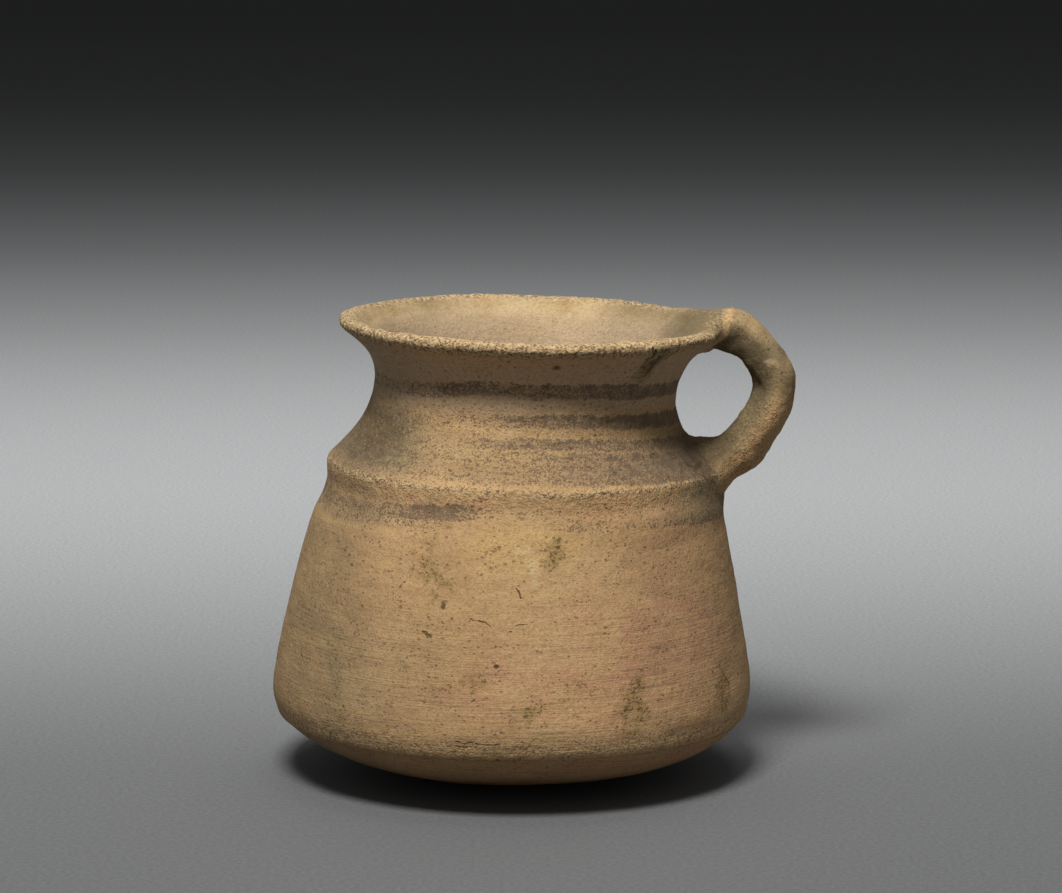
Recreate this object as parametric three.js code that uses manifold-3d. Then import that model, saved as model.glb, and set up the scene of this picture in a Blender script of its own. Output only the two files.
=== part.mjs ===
// Small one-handled jug of fired clay with a keeled body, in millimetres, +Z up.
// It stands on a worn flat at z = 0, its handle points along +X, and it leans towards the handle.
import * as THREE from 'three';
import { mergeVertices } from 'three/addons/utils/BufferGeometryUtils.js';
import Module from 'manifold-3d';

const wasm = await Module();
wasm.setup();

// Outside of the vessel
const footRadius = 14;
const keelRadius = 57;
const keelHeight = 20.6;
const wallBulge = 1.1;
const collarRadius = 46.3;
const collarHeight = 69.7;
const ridgeRadius = 46.1;
const ridgeHeight = 74.5;
const neckRadius = 36.1;
const neckHeight = 93.6;
const rimRadius = 45.6;
const rimHeight = 108.6;

// Thickness of the clay
const floorThickness = 5.5;
const wallThickness = 5;
const neckThickness = 4.3;
const lipThickness = 3.4;
const lipFaceHeight = 3.1;

// Bevelled joints between the thrown sections
const luting = 0.3;
const keelJointRise = 3;
const ridgeJointDrop = 0.9;

// Lean of the vessel towards the handle
const leanShift = 4.8;
const leanPower = 1.4;
const leanTilt = THREE.MathUtils.degToRad(1.6);

// Strap handle, which reaches out beyond the lip, thickens towards its foot and is pressed thin
// where it goes under the tongue
const handleReach = 16.4;
const handleWidth = 13.5;
const handleTopThickness = 9.4;
const handleFootThickness = 11;
const handleHeadFlare = 5;
const handleFootFlare = 4;
const handleTopThinning = 3.2;
const handleRootDepth = 6.3;
const handleCrest = 1.12;
const handleRoundness = 0.9;

// Smoothed clay at the handle's two roots
const rimPadLength = 17;
const rimPadWidth = 25;
const rimPadThickness = 3.2;
const shoulderPadWidth = 25;
const shoulderPadHeight = 14.4;
const shoulderPadThickness = 6.5;

// Facets
const turnSteps = 64;
const handleSteps = 34;
const handleSides = 20;

const buff = new THREE.Color('#a97c52');

function clay(tint) {
  return new THREE.MeshStandardMaterial({
    color: buff.clone().multiplyScalar(tint),
    roughness: 0.86,
    metalness: 0,
  });
}

// Outlines as lists of [radius, height]
function bezier(start, startPull, endPull, end, steps) {
  const points = [start, startPull, endPull, end].map(([r, z]) => new THREE.Vector2(r, z));
  return new THREE.CubicBezierCurve(...points).getPoints(steps).map((p) => [p.x, p.y]);
}

function spline(points, steps) {
  const curve = new THREE.SplineCurve(points.map(([r, z]) => new THREE.Vector2(r, z)));
  return curve.getPoints(steps).map((p) => [p.x, p.y]);
}

// Point in the clay under an outline, at a share of the way along it and a thickness from it
function inset(outline, share, thickness) {
  const place = share * (outline.length - 1);
  const before = Math.min(Math.floor(place), outline.length - 2);
  const [[r0, z0], [r1, z1]] = outline.slice(before, before + 2);
  const depth = thickness / Math.hypot(r1 - r0, z1 - z0);
  return [
    THREE.MathUtils.lerp(r0, r1, place - before) - depth * (z1 - z0),
    THREE.MathUtils.lerp(z0, z1, place - before) + depth * (r1 - r0),
  ];
}

const wallRun = keelRadius - collarRadius;
const wallRise = collarHeight - keelHeight;

function wallPoint(share) {
  const swell = wallBulge * Math.sin(Math.PI * share) ** 0.6;
  return [keelRadius - wallRun * share + swell, keelHeight + wallRise * share];
}

const keelEdge = [keelRadius, keelHeight];
const collarEdge = [collarRadius, collarHeight];
const ridgeEdge = [ridgeRadius, ridgeHeight];
const neckWaist = [neckRadius, neckHeight];
const shoulderRun = ridgeRadius - neckRadius;
const shoulderRise = neckHeight - ridgeHeight;
const flareRun = rimRadius - neckRadius;
const flareRise = rimHeight - neckHeight;

const bowlOutside = bezier(
  [footRadius, 0],
  [keelRadius * 0.667, keelHeight * 0.12],
  [keelRadius * 1.009, keelHeight * 0.51],
  keelEdge,
  12,
);
const shoulderOutside = bezier(
  ridgeEdge,
  [ridgeRadius - shoulderRun * 0.53, ridgeHeight + shoulderRise * 0.27],
  [neckRadius, ridgeHeight + shoulderRise * 0.55],
  neckWaist,
  10,
);
const flareEnd = [rimRadius - lipThickness * 0.42, rimHeight - lipFaceHeight];
const flareOutside = bezier(
  neckWaist,
  [neckRadius - 0.2, neckHeight + flareRise * 0.385],
  [neckRadius + flareRun * 0.43, neckHeight + flareRise * 0.61],
  flareEnd,
  9,
);
const lipInnerEdge = [rimRadius - lipThickness * 1.35, rimHeight - lipThickness * 0.16];
const lipCurve = spline(
  [
    flareEnd,
    [rimRadius - lipThickness * 0.08, rimHeight - lipFaceHeight * 0.72],
    [rimRadius, rimHeight - lipFaceHeight * 0.37],
    [rimRadius - lipThickness * 0.26, rimHeight - lipThickness * 0.06],
    [rimRadius - lipThickness * 0.72, rimHeight],
    lipInnerEdge,
    inset(flareOutside, 0.76, lipThickness * 1.1),
  ],
  10,
);

// Bowl of the base, from the foot up to the keel
const keelJointInner = [keelRadius - wallThickness, keelHeight + keelJointRise];
const bowlInside = spline(
  [
    keelJointInner,
    [keelRadius - wallThickness * 1.05, keelHeight],
    inset(bowlOutside, 0.7, wallThickness * 1.05),
    inset(bowlOutside, 0.5, floorThickness),
    inset(bowlOutside, 0.25, floorThickness),
    [0, floorThickness],
  ],
  12,
);
const bowlOutline = [[0, 0], ...bowlOutside, ...bowlInside];

// Conical wall, from the keel up to the collar under the ridge
const keelGap = (luting * Math.hypot(keelJointRise, wallThickness)) / wallThickness;
const ridgeJointOuter = [
  THREE.MathUtils.lerp(collarRadius, ridgeRadius, 0.8),
  ridgeHeight - ridgeJointDrop,
];
const ridgeJointInner = [ridgeRadius - wallThickness * 1.3, ridgeHeight - ridgeJointDrop * 0.35];
const wallOutside = [0.02, 0.07, 0.16, 0.28, 0.42, 0.56, 0.7, 0.82, 0.93].map(wallPoint);
const wallOutline = [
  [keelRadius, keelHeight + keelGap],
  ...wallOutside,
  collarEdge,
  ridgeJointOuter,
  ridgeJointInner,
  ...spline(
    [
      inset([collarEdge, ridgeJointOuter], 0.7, wallThickness * 1.1),
      inset([collarEdge, ridgeJointOuter], 0, wallThickness),
      ...[0.75, 0.5, 0.25].map((share) => inset(wallOutside, share, wallThickness)),
      [keelJointInner[0], keelJointInner[1] + keelGap],
    ],
    8,
  ),
];
wallOutline.push(wallOutline[0]);

// Shoulder ridge, neck, flare and lip in one section
const neckOutline = [
  [ridgeJointOuter[0], ridgeJointOuter[1] + luting],
  ...shoulderOutside,
  ...flareOutside.slice(1),
  ...lipCurve.slice(1),
  ...spline(
    [
      inset(flareOutside, 0.5, neckThickness),
      inset(flareOutside, 0, neckThickness),
      inset(shoulderOutside, 0.72, neckThickness),
      inset(shoulderOutside, 0.36, neckThickness),
      [ridgeJointInner[0], ridgeJointInner[1] + luting],
    ],
    10,
  ),
];
neckOutline.push(neckOutline[0]);

// Outline moved outwards by a distance, so that what meets it keeps the luting gap
function grow(outline, distance) {
  const last = outline.length - 1;
  const closed = outline[0] === outline[last];
  return outline.map(([r, z], index) => {
    const before = index > 0 ? outline[index - 1] : outline[closed ? last - 1 : 0];
    const after = index < last ? outline[index + 1] : outline[closed ? 1 : last];
    const length = Math.hypot(after[0] - before[0], after[1] - before[1]);
    const moveOut = (distance * (after[1] - before[1])) / length;
    const moveUp = (-distance * (after[0] - before[0])) / length;
    return [Math.max(r + moveOut, 0), z + moveUp];
  });
}

// Outside of the whole vessel, from the foot to the top of the lip
const vesselOutside = [
  ...bowlOutside,
  ...wallOutside,
  collarEdge,
  ...shoulderOutside,
  ...flareOutside.slice(1),
  ...lipCurve.slice(1, 7),
];

// Lean: the height sheds towards +X and every level above the keel slides the same way
function leanPoint(point) {
  const share = Math.max((point.z - keelHeight) / (rimHeight - keelHeight), 0);
  const tilt = leanTilt * THREE.MathUtils.smoothstep(point.z, keelHeight, ridgeHeight);
  point.z -= point.x * Math.tan(tilt);
  point.x += leanShift * share ** leanPower;
  return point;
}

function leanGeometry(geometry) {
  const positions = geometry.attributes.position;
  const point = new THREE.Vector3();
  for (let i = 0; i < positions.count; i += 1) {
    leanPoint(point.fromBufferAttribute(positions, i));
    positions.setXYZ(i, point.x, point.y, point.z);
  }
  return geometry;
}

// One welded skin without flat triangles, facing outwards
function weld(geometry) {
  geometry.deleteAttribute('normal');
  geometry.deleteAttribute('uv');
  const merged = mergeVertices(geometry, 1e-4);
  const kept = [];
  const index = merged.index.array;
  for (let i = 0; i < index.length; i += 3) {
    const [a, b, c] = [index[i], index[i + 1], index[i + 2]];
    if (a !== b && b !== c && c !== a) kept.push(a, b, c);
  }
  const position = merged.attributes.position;
  const [a, b, c] = [0, 0, 0].map(() => new THREE.Vector3());
  let volume = 0;
  for (let i = 0; i < kept.length; i += 3) {
    a.fromBufferAttribute(position, kept[i]);
    b.fromBufferAttribute(position, kept[i + 1]);
    c.fromBufferAttribute(position, kept[i + 2]);
    volume += a.dot(b.cross(c));
  }
  if (volume < 0) kept.reverse();
  merged.setIndex(kept);
  return merged;
}

function toSolid(geometry) {
  const skin = weld(geometry);
  return new wasm.Manifold(
    new wasm.Mesh({
      numProp: 3,
      vertProperties: new Float32Array(skin.attributes.position.array),
      triVerts: new Uint32Array(skin.index.array),
    }),
  );
}

function toGeometry(solid) {
  const mesh = solid.getMesh();
  const geometry = new THREE.BufferGeometry();
  geometry.setAttribute('position', new THREE.Float32BufferAttribute(mesh.vertProperties, 3));
  geometry.setIndex(Array.from(mesh.triVerts));
  return geometry;
}

function turn(outline) {
  const points = outline.map(([r, z]) => new THREE.Vector2(r, z));
  return weld(leanGeometry(new THREE.LatheGeometry(points, turnSteps).rotateX(Math.PI / 2)));
}

// Route of the handle in the XZ plane: out from the lip, round the finger loop, down to the shoulder
const lipAtHandle = leanPoint(new THREE.Vector3(rimRadius, 0, rimHeight));
const ridgeAtHandle = leanPoint(new THREE.Vector3(ridgeRadius, 0, ridgeHeight));
const loopReach = handleReach - handleTopThickness / 2;
const loopDrop = lipAtHandle.z - ridgeAtHandle.z;
const loopShares = [
  [0.42, 0.084],
  [0.735, 0.212],
  [0.96, 0.33],
  [1, 0.45],
  [0.9, 0.59],
  [0.67, 0.725],
  [0.3, 0.88],
];
const handleRoute = new THREE.CatmullRomCurve3(
  [
    [lipAtHandle.x - handleRootDepth, lipAtHandle.z - handleTopThickness * 0.39],
    [lipAtHandle.x + handleRootDepth * 0.1, lipAtHandle.z - handleTopThickness * 0.06],
    ...loopShares.map(([out, down]) => [
      lipAtHandle.x + loopReach * out,
      lipAtHandle.z - loopDrop * down,
    ]),
    [ridgeAtHandle.x + handleRootDepth * 0.06, ridgeAtHandle.z + handleFootThickness * 0.1],
    [ridgeAtHandle.x - handleRootDepth, ridgeAtHandle.z - handleFootThickness * 0.1],
  ].map(([x, z]) => new THREE.Vector3(x, 0, z)),
);

// Half-size of a rounded section in one direction, drawn to a crest where the sharpness is above 1
function bulge(share, halfSize, sharpness) {
  return Math.sign(share) * Math.abs(share) ** sharpness * halfSize;
}

// Strap with a soft crest along each edge, which flares at both roots
function strap(growth) {
  const positions = [];
  const index = [];
  const across = new THREE.Vector3(0, 1, 0);
  for (let step = 0; step <= handleSteps; step += 1) {
    const share = step / handleSteps;
    const centre = handleRoute.getPointAt(share);
    const outward = new THREE.Vector3().crossVectors(across, handleRoute.getTangentAt(share));
    const headward = Math.max(1 - share / 0.22, 0) ** 2;
    const footward = Math.max((share - 0.78) / 0.22, 0) ** 2;
    const thickness = THREE.MathUtils.lerp(handleTopThickness, handleFootThickness, share);
    const width = handleWidth + handleHeadFlare * headward + handleFootFlare * footward;
    const depth = thickness + handleFootFlare * 0.4 * footward - handleTopThinning * headward;
    for (let side = 0; side < handleSides; side += 1) {
      const angle = (side / handleSides) * Math.PI * 2;
      const y = bulge(Math.cos(angle), width / 2 + growth, handleCrest);
      const out = bulge(Math.sin(angle), depth / 2 + growth, handleRoundness);
      positions.push(centre.x + outward.x * out, y, centre.z + outward.z * out);
    }
  }
  for (const step of [0, handleSteps]) {
    const end = handleRoute.getPointAt(step / handleSteps);
    positions.push(end.x, end.y, end.z);
  }
  for (let step = 0; step < handleSteps; step += 1) {
    for (let side = 0; side < handleSides; side += 1) {
      const a = step * handleSides + side;
      const b = step * handleSides + ((side + 1) % handleSides);
      index.push(a, b, b + handleSides, a, b + handleSides, a + handleSides);
    }
  }
  const startCentre = (handleSteps + 1) * handleSides;
  for (let side = 0; side < handleSides; side += 1) {
    const next = (side + 1) % handleSides;
    index.push(startCentre, next, side);
    const last = handleSteps * handleSides;
    index.push(startCentre + 1, last + side, last + next);
  }
  const geometry = new THREE.BufferGeometry();
  geometry.setAttribute('position', new THREE.Float32BufferAttribute(positions, 3));
  geometry.setIndex(index);
  return geometry;
}

function largestPiece(solid) {
  return solid.decompose().sort((a, b) => b.volume() - a.volume())[0];
}

const grownOutside = grow(vesselOutside, luting);
const filledVessel = toSolid(
  turn([
    [0, grownOutside[0][1]],
    ...grownOutside,
    [0, grownOutside[grownOutside.length - 1][1]],
  ]),
);
const handleSolid = largestPiece(toSolid(strap(0)).subtract(filledVessel));
const grownHandle = toSolid(strap(luting));
const grownNeck = toSolid(turn(grow(neckOutline, luting)));

// Tongue of clay smoothed up the inside of the flare, over the lip and against the handle
function leanSection([r, z]) {
  return leanPoint(new THREE.Vector3(r, 0, z));
}

const tongueTop = leanSection(lipInnerEdge);
const tongueFoot = leanSection(inset(flareOutside, 0.5, neckThickness));
const tongueCentre = tongueTop.clone().lerp(tongueFoot, 0.4);
const rimPadShape = new THREE.SphereGeometry(1, 24, 12);
rimPadShape.scale(rimPadLength / 2, rimPadThickness, rimPadWidth / 2);
rimPadShape.rotateX(Math.PI / 2);
rimPadShape.rotateY(Math.atan2(tongueFoot.z - tongueTop.z, tongueTop.x - tongueFoot.x));
rimPadShape.translate(tongueCentre.x, 0, tongueCentre.z);
const rimPad = largestPiece(toSolid(rimPadShape).subtract(grownHandle).subtract(grownNeck));

// Wad of clay flared round the lower root of the handle
const shoulderPadShape = new THREE.SphereGeometry(1, 28, 18);
shoulderPadShape.scale(shoulderPadThickness, shoulderPadWidth / 2, shoulderPadHeight / 2);
shoulderPadShape.rotateY(-0.3);
shoulderPadShape.translate(ridgeAtHandle.x - 2, 0, ridgeAtHandle.z);
const shoulderPad = largestPiece(
  toSolid(shoulderPadShape).subtract(grownHandle).subtract(filledVessel),
);

const jug = new THREE.Group();

function add(name, geometry, tint) {
  const mesh = new THREE.Mesh(geometry, clay(tint));
  mesh.name = name;
  jug.add(mesh);
}

add('base_bowl', turn(bowlOutline), 0.86);
add('body_wall', turn(wallOutline), 1);
add('neck_and_rim', turn(neckOutline), 0.96);
add('handle', toGeometry(handleSolid), 0.93);
add('handle_rim_pad', toGeometry(rimPad), 1.02);
add('handle_shoulder_pad', toGeometry(shoulderPad), 0.9);

export default jug;
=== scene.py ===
import math

import bmesh
import bpy
import numpy as np
from mathutils import Matrix, Vector, noise


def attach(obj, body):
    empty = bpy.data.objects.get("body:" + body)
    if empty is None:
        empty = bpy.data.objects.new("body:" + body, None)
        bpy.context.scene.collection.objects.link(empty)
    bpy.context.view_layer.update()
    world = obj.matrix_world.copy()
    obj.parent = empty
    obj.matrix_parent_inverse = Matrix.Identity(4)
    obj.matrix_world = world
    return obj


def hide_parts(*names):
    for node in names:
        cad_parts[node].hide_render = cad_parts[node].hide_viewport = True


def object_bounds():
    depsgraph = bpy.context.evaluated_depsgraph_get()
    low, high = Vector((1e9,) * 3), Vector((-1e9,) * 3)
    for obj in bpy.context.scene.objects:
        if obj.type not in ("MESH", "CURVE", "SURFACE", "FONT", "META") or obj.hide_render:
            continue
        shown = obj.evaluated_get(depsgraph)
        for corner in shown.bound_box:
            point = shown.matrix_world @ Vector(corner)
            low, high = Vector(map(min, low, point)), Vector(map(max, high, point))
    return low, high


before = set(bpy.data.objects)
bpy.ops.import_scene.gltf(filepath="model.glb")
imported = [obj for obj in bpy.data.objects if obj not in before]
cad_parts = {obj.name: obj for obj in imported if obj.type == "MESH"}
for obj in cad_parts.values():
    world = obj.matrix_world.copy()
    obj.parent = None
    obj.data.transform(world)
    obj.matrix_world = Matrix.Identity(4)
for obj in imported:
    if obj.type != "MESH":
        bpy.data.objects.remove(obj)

MM = 0.001
first_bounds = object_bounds()

# Sizes of the pot in millimetres, the same as in the CAD
FOOT_RADIUS = 14
KEEL_RADIUS, KEEL_HEIGHT = 57, 20.6
COLLAR_RADIUS, COLLAR_HEIGHT = 46.3, 69.7
RIDGE_RADIUS, RIDGE_HEIGHT = 46.1, 74.5
NECK_RADIUS, NECK_HEIGHT = 36.1, 93.6
RIM_RADIUS, RIM_HEIGHT = 45.6, 108.6
FLOOR, WALL, NECK_WALL, LIP, LIP_FACE = 5.5, 5, 4.3, 3.4, 3.1
LEAN_SHIFT, LEAN_POWER, LEAN_TILT = 4.8, 1.4, math.radians(1.6)
HANDLE_REACH, HANDLE_WIDTH, HANDLE_TOP, HANDLE_FOOT, ROOT_DEPTH = 16.4, 13.5, 9.4, 11, 6.3
HEAD_FLARE, FOOT_FLARE, HEAD_THINNING, FLARE_SHARE = 5, 4, 3.2, 0.22

# Fineness: steps round the pot, sides and number of the handle's rings, and the skin's grid in millimetres
TURN_STEPS, RING_SIDES, HANDLE_RINGS, VOXEL = 200, 32, 61, 1.08


def smooth(low, high, value):
    share = np.clip((value - low) / (high - low), 0, 1)
    return share * share * (3 - 2 * share)


# Camera at the photograph's viewing angle
CAMERA_PLACE, CAMERA_DIP, CAMERA_LENS = (0.004614, -0.9987, 0.24205), 0.163, 144.7


def place_camera():
    data = bpy.data.cameras.new("camera")
    data.sensor_width = 36
    data.lens = CAMERA_LENS
    data.clip_start, data.clip_end = 0.05, 20
    camera = bpy.data.objects.new("camera", data)
    camera.location = CAMERA_PLACE
    camera.rotation_euler = (math.radians(90) - CAMERA_DIP, 0, 0)
    bpy.context.scene.collection.objects.link(camera)
    bpy.context.scene.camera = camera


# Outline of the clay in section, as [radius, height] points
def bezier(start, pull, push, end, steps):
    points = []
    for t in np.linspace(0, 1, steps + 1):
        weights = ((1 - t) ** 3, 3 * t * (1 - t) ** 2, 3 * t * t * (1 - t), t ** 3)
        points.append(sum(w * np.array(p, float) for w, p in zip(weights, (start, pull, push, end))))
    return points


def spline(points, steps):
    points = [np.array(p, float) for p in points]
    ends = [points[0], *points, points[-1]]
    made = []
    for t in np.linspace(0, len(points) - 1, steps + 1):
        i = min(int(t), len(points) - 2)
        u = t - i
        p0, p1, p2, p3 = ends[i:i + 4]
        slope0, slope1 = (p2 - p0) / 2, (p3 - p1) / 2
        made.append(
            (2 * u ** 3 - 3 * u ** 2 + 1) * p1
            + (u ** 3 - 2 * u ** 2 + u) * slope0
            + (3 * u ** 2 - 2 * u ** 3) * p2
            + (u ** 3 - u ** 2) * slope1
        )
    return made


def inset(outline, share, thickness):
    """Point in the clay under an outline, at a share of the way along it."""
    place = share * (len(outline) - 1)
    before = min(int(place), len(outline) - 2)
    (r0, z0), (r1, z1) = outline[before], outline[before + 1]
    depth, along = thickness / math.hypot(r1 - r0, z1 - z0), place - before
    return [r0 + (r1 - r0) * along - depth * (z1 - z0), z0 + (z1 - z0) * along + depth * (r1 - r0)]


def wall_point(share):
    swell = 1.1 * math.sin(math.pi * share) ** 0.6
    radius = KEEL_RADIUS - (KEEL_RADIUS - COLLAR_RADIUS) * share + swell
    return [radius, KEEL_HEIGHT + (COLLAR_HEIGHT - KEEL_HEIGHT) * share]


def lip_outline(throat):
    """From the end of the throat over the lip and a little way down inside."""
    return spline(
        [
            throat[-1],
            [RIM_RADIUS - LIP * 0.08, RIM_HEIGHT - LIP_FACE * 0.72],
            [RIM_RADIUS, RIM_HEIGHT - LIP_FACE * 0.37],
            [RIM_RADIUS - LIP * 0.26, RIM_HEIGHT - LIP * 0.06],
            [RIM_RADIUS - LIP * 0.72, RIM_HEIGHT],
            [RIM_RADIUS - LIP * 1.35, RIM_HEIGHT - LIP * 0.16],
            inset(throat, 0.76, LIP * 1.1),
        ],
        18,
    )


def inner_outline(bowl, wall, collar, shoulder, throat, lip_end):
    """Under the outside by the thickness of the clay, from the lip to the middle of the floor."""
    return spline(
        [
            lip_end,
            inset(throat, 0.5, NECK_WALL),
            inset(throat, 0, NECK_WALL),
            inset(shoulder, 0.72, NECK_WALL),
            inset(shoulder, 0.36, NECK_WALL),
            inset(collar, 0, WALL),
            inset(wall, 0.5, WALL),
            [KEEL_RADIUS - WALL, KEEL_HEIGHT + 3],
            [KEEL_RADIUS - WALL * 1.05, KEEL_HEIGHT],
            inset(bowl, 0.7, WALL * 1.05),
            inset(bowl, 0.5, FLOOR),
            inset(bowl, 0.25, FLOOR),
            [0, FLOOR],
        ],
        60,
    )


def outlines():
    """Outside of the bowl, wall, shoulder, flare and lip, and the inside, from the lip to the floor."""
    run, rise = RIDGE_RADIUS - NECK_RADIUS, NECK_HEIGHT - RIDGE_HEIGHT
    flare, climb = RIM_RADIUS - NECK_RADIUS, RIM_HEIGHT - NECK_HEIGHT
    bowl = bezier(
        [FOOT_RADIUS, 0],
        [KEEL_RADIUS * 0.667, KEEL_HEIGHT * 0.12],
        [KEEL_RADIUS * 1.009, KEEL_HEIGHT * 0.51],
        [KEEL_RADIUS, KEEL_HEIGHT],
        26,
    )
    wall = [wall_point(share) for share in np.linspace(0.015, 0.985, 40)]
    collar = [[COLLAR_RADIUS, COLLAR_HEIGHT], [RIDGE_RADIUS, RIDGE_HEIGHT - 0.9]]
    shoulder = bezier(
        [RIDGE_RADIUS, RIDGE_HEIGHT],
        [RIDGE_RADIUS - run * 0.53, RIDGE_HEIGHT + rise * 0.27],
        [NECK_RADIUS, RIDGE_HEIGHT + rise * 0.55],
        [NECK_RADIUS, NECK_HEIGHT],
        20,
    )
    throat = bezier(
        [NECK_RADIUS, NECK_HEIGHT],
        [NECK_RADIUS - 0.2, NECK_HEIGHT + climb * 0.385],
        [NECK_RADIUS + flare * 0.43, NECK_HEIGHT + climb * 0.61],
        [RIM_RADIUS - LIP * 0.42, RIM_HEIGHT - LIP_FACE],
        16,
    )
    lip = lip_outline(throat)
    inside = inner_outline(bowl, wall, collar, shoulder, throat, lip[-1])
    outside = [*bowl, *wall, *collar, *shoulder, *throat[1:]]
    return outside, lip[1:], inside[1:]


OUTSIDE, LIP_TURN, INSIDE = outlines()


def lean_at(z):
    """Sideways shift, and slope of the tilt, of the leaning pot at a height."""
    share = np.maximum((z - KEEL_HEIGHT) / (RIM_HEIGHT - KEEL_HEIGHT), 0)
    return LEAN_SHIFT * share ** LEAN_POWER, np.tan(LEAN_TILT * smooth(KEEL_HEIGHT, RIDGE_HEIGHT, z))


def lean(x, z):
    shift, slope = lean_at(z)
    return x + shift, z - x * slope


def upright(x_leant, z_leant):
    """Where points of the leaning pot would stand if it stood upright, found in a few rounds."""
    x, z = x_leant.copy(), z_leant.copy()
    for _ in range(6):
        shift, slope = lean_at(z)
        x = x_leant - shift
        z = z_leant + x * slope
    return x, z


# Vessel: the section spun round the axis, then leant towards the handle
def spin_vessel(bm, outline):
    made = [bm.verts.new((r * MM, 0, z * MM)) for r, z in outline]
    edges = [bm.edges.new(pair) for pair in zip(made, made[1:])]
    bmesh.ops.spin(
        bm, geom=made + edges, cent=(0, 0, 0), axis=(0, 0, 1), angle=math.tau, steps=TURN_STEPS,
        use_merge=True,
    )
    bmesh.ops.remove_doubles(bm, verts=bm.verts[:], dist=1e-6)
    for v in bm.verts:
        x, z = lean(np.array(v.co.x / MM), np.array(v.co.z / MM))
        v.co.x, v.co.z = x * MM, z * MM


def on_pot(r, z):
    x, height = lean(np.array(float(r)), np.array(float(z)))
    return Vector((float(x), 0, float(height)))


LIP_POINT = on_pot(RIM_RADIUS, RIM_HEIGHT)
RIDGE_POINT = on_pot(RIDGE_RADIUS, RIDGE_HEIGHT)


# Handle: rounded rings bridged along its route in the XZ plane
def handle_route():
    drop, reach = LIP_POINT.z - RIDGE_POINT.z, HANDLE_REACH - HANDLE_TOP / 2
    shares = [
        [0.42, 0.084], [0.735, 0.212], [0.96, 0.33], [1, 0.45], [0.9, 0.59], [0.67, 0.725], [0.3, 0.88],
    ]
    keys = [
        [LIP_POINT.x - ROOT_DEPTH, LIP_POINT.z - HANDLE_TOP * 0.39],
        [LIP_POINT.x + ROOT_DEPTH * 0.1, LIP_POINT.z - HANDLE_TOP * 0.06],
        *[[LIP_POINT.x + reach * out, LIP_POINT.z - drop * down] for out, down in shares],
        [RIDGE_POINT.x + ROOT_DEPTH * 0.06, RIDGE_POINT.z + HANDLE_FOOT * 0.1],
        [RIDGE_POINT.x - ROOT_DEPTH, RIDGE_POINT.z - HANDLE_FOOT * 0.1],
    ]
    dense = np.array(spline(keys, 240))
    lengths = np.concatenate([[0], np.cumsum(np.hypot(*np.diff(dense, axis=0).T))])
    places = np.linspace(0, 1, HANDLE_RINGS)
    route = np.stack([np.interp(places * lengths[-1], lengths, dense[:, k]) for k in (0, 1)], 1)
    return places, route


def loft_handle(bm):
    places, route = handle_route()
    rings = []
    for i, place in enumerate(places):
        ahead = route[min(i + 1, len(route) - 1)] - route[max(i - 1, 0)]
        ahead = ahead / np.linalg.norm(ahead)
        outward = Vector((-ahead[1], 0, ahead[0]))
        headward = max(1 - place / FLARE_SHARE, 0) ** 2
        footward = max(1 - (1 - place) / FLARE_SHARE, 0) ** 2
        half_across = (HANDLE_WIDTH + HEAD_FLARE * headward + FOOT_FLARE * footward) / 2
        thickness = HANDLE_TOP + (HANDLE_FOOT - HANDLE_TOP) * place
        half_out = (thickness + FOOT_FLARE * 0.4 * footward - HEAD_THINNING * headward) / 2
        ring = bmesh.ops.create_circle(bm, cap_ends=i in (0, len(route) - 1), segments=RING_SIDES, radius=1)
        for v in ring["verts"]:
            y = math.copysign(abs(v.co.x) ** 1.12, v.co.x) * half_across
            out = math.copysign(abs(v.co.y) ** 0.9, v.co.y) * half_out
            v.co = Vector((route[i][0], y, route[i][1])) * MM + outward * (out * MM)
        rings.append(list({e for v in ring["verts"] for e in v.link_edges}))
    for one, other in zip(rings, rings[1:]):
        bmesh.ops.bridge_loops(bm, edges=one + other)


# Wads of clay at the roots of the handle: half sizes along their own X, Y and Z, in millimetres
TONGUE_WAD, SHOULDER_WAD = (9.5, 12.5, 2.8), (6.5, 12.5, 7.2)


def add_wad(bm, centre, halves, turned):
    """A rounded lump of clay at a place on the pot, turned about Y by an angle in radians."""
    made = bmesh.ops.create_icosphere(bm, subdivisions=4, radius=1)["verts"]
    turn = Matrix.Rotation(turned, 3, "Y")
    for v in made:
        shaped = Vector([v.co[k] * halves[k] for k in range(3)])
        v.co = (turn @ shaped + centre) * MM


def to_object(bm, name):
    bmesh.ops.recalc_face_normals(bm, faces=bm.faces[:])
    mesh = bpy.data.meshes.new(name)
    bm.to_mesh(mesh)
    bm.free()
    made = bpy.data.objects.new(name, mesh)
    bpy.context.scene.collection.objects.link(made)
    return made


def clay_skin():
    """Vessel, handle and wads, fused into one even skin."""
    bm = bmesh.new()
    spin_vessel(bm, [[0, 0], *OUTSIDE, *LIP_TURN, *INSIDE])
    loft_handle(bm)
    tongue_top, tongue_foot = on_pot(*LIP_TURN[14]), on_pot(*INSIDE[4])
    slope = math.atan2(tongue_foot.z - tongue_top.z, tongue_top.x - tongue_foot.x)
    add_wad(bm, tongue_top.lerp(tongue_foot, 0.42), TONGUE_WAD, slope)
    add_wad(bm, RIDGE_POINT + Vector((-2, 0, 0)), SHOULDER_WAD, -0.3)
    pot = to_object(bm, "fired_clay_jug")
    remesh = pot.modifiers.new("skin", "REMESH")
    remesh.mode, remesh.voxel_size = "VOXEL", VOXEL * MM
    settle(pot)
    return pot


def settle(piece):
    """Keeps the piece's modified mesh as its own mesh."""
    bpy.context.view_layer.update()
    seen = piece.evaluated_get(bpy.context.evaluated_depsgraph_get())
    mesh = bpy.data.meshes.new_from_object(seen)
    piece.modifiers.clear()
    piece.data = mesh


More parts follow.
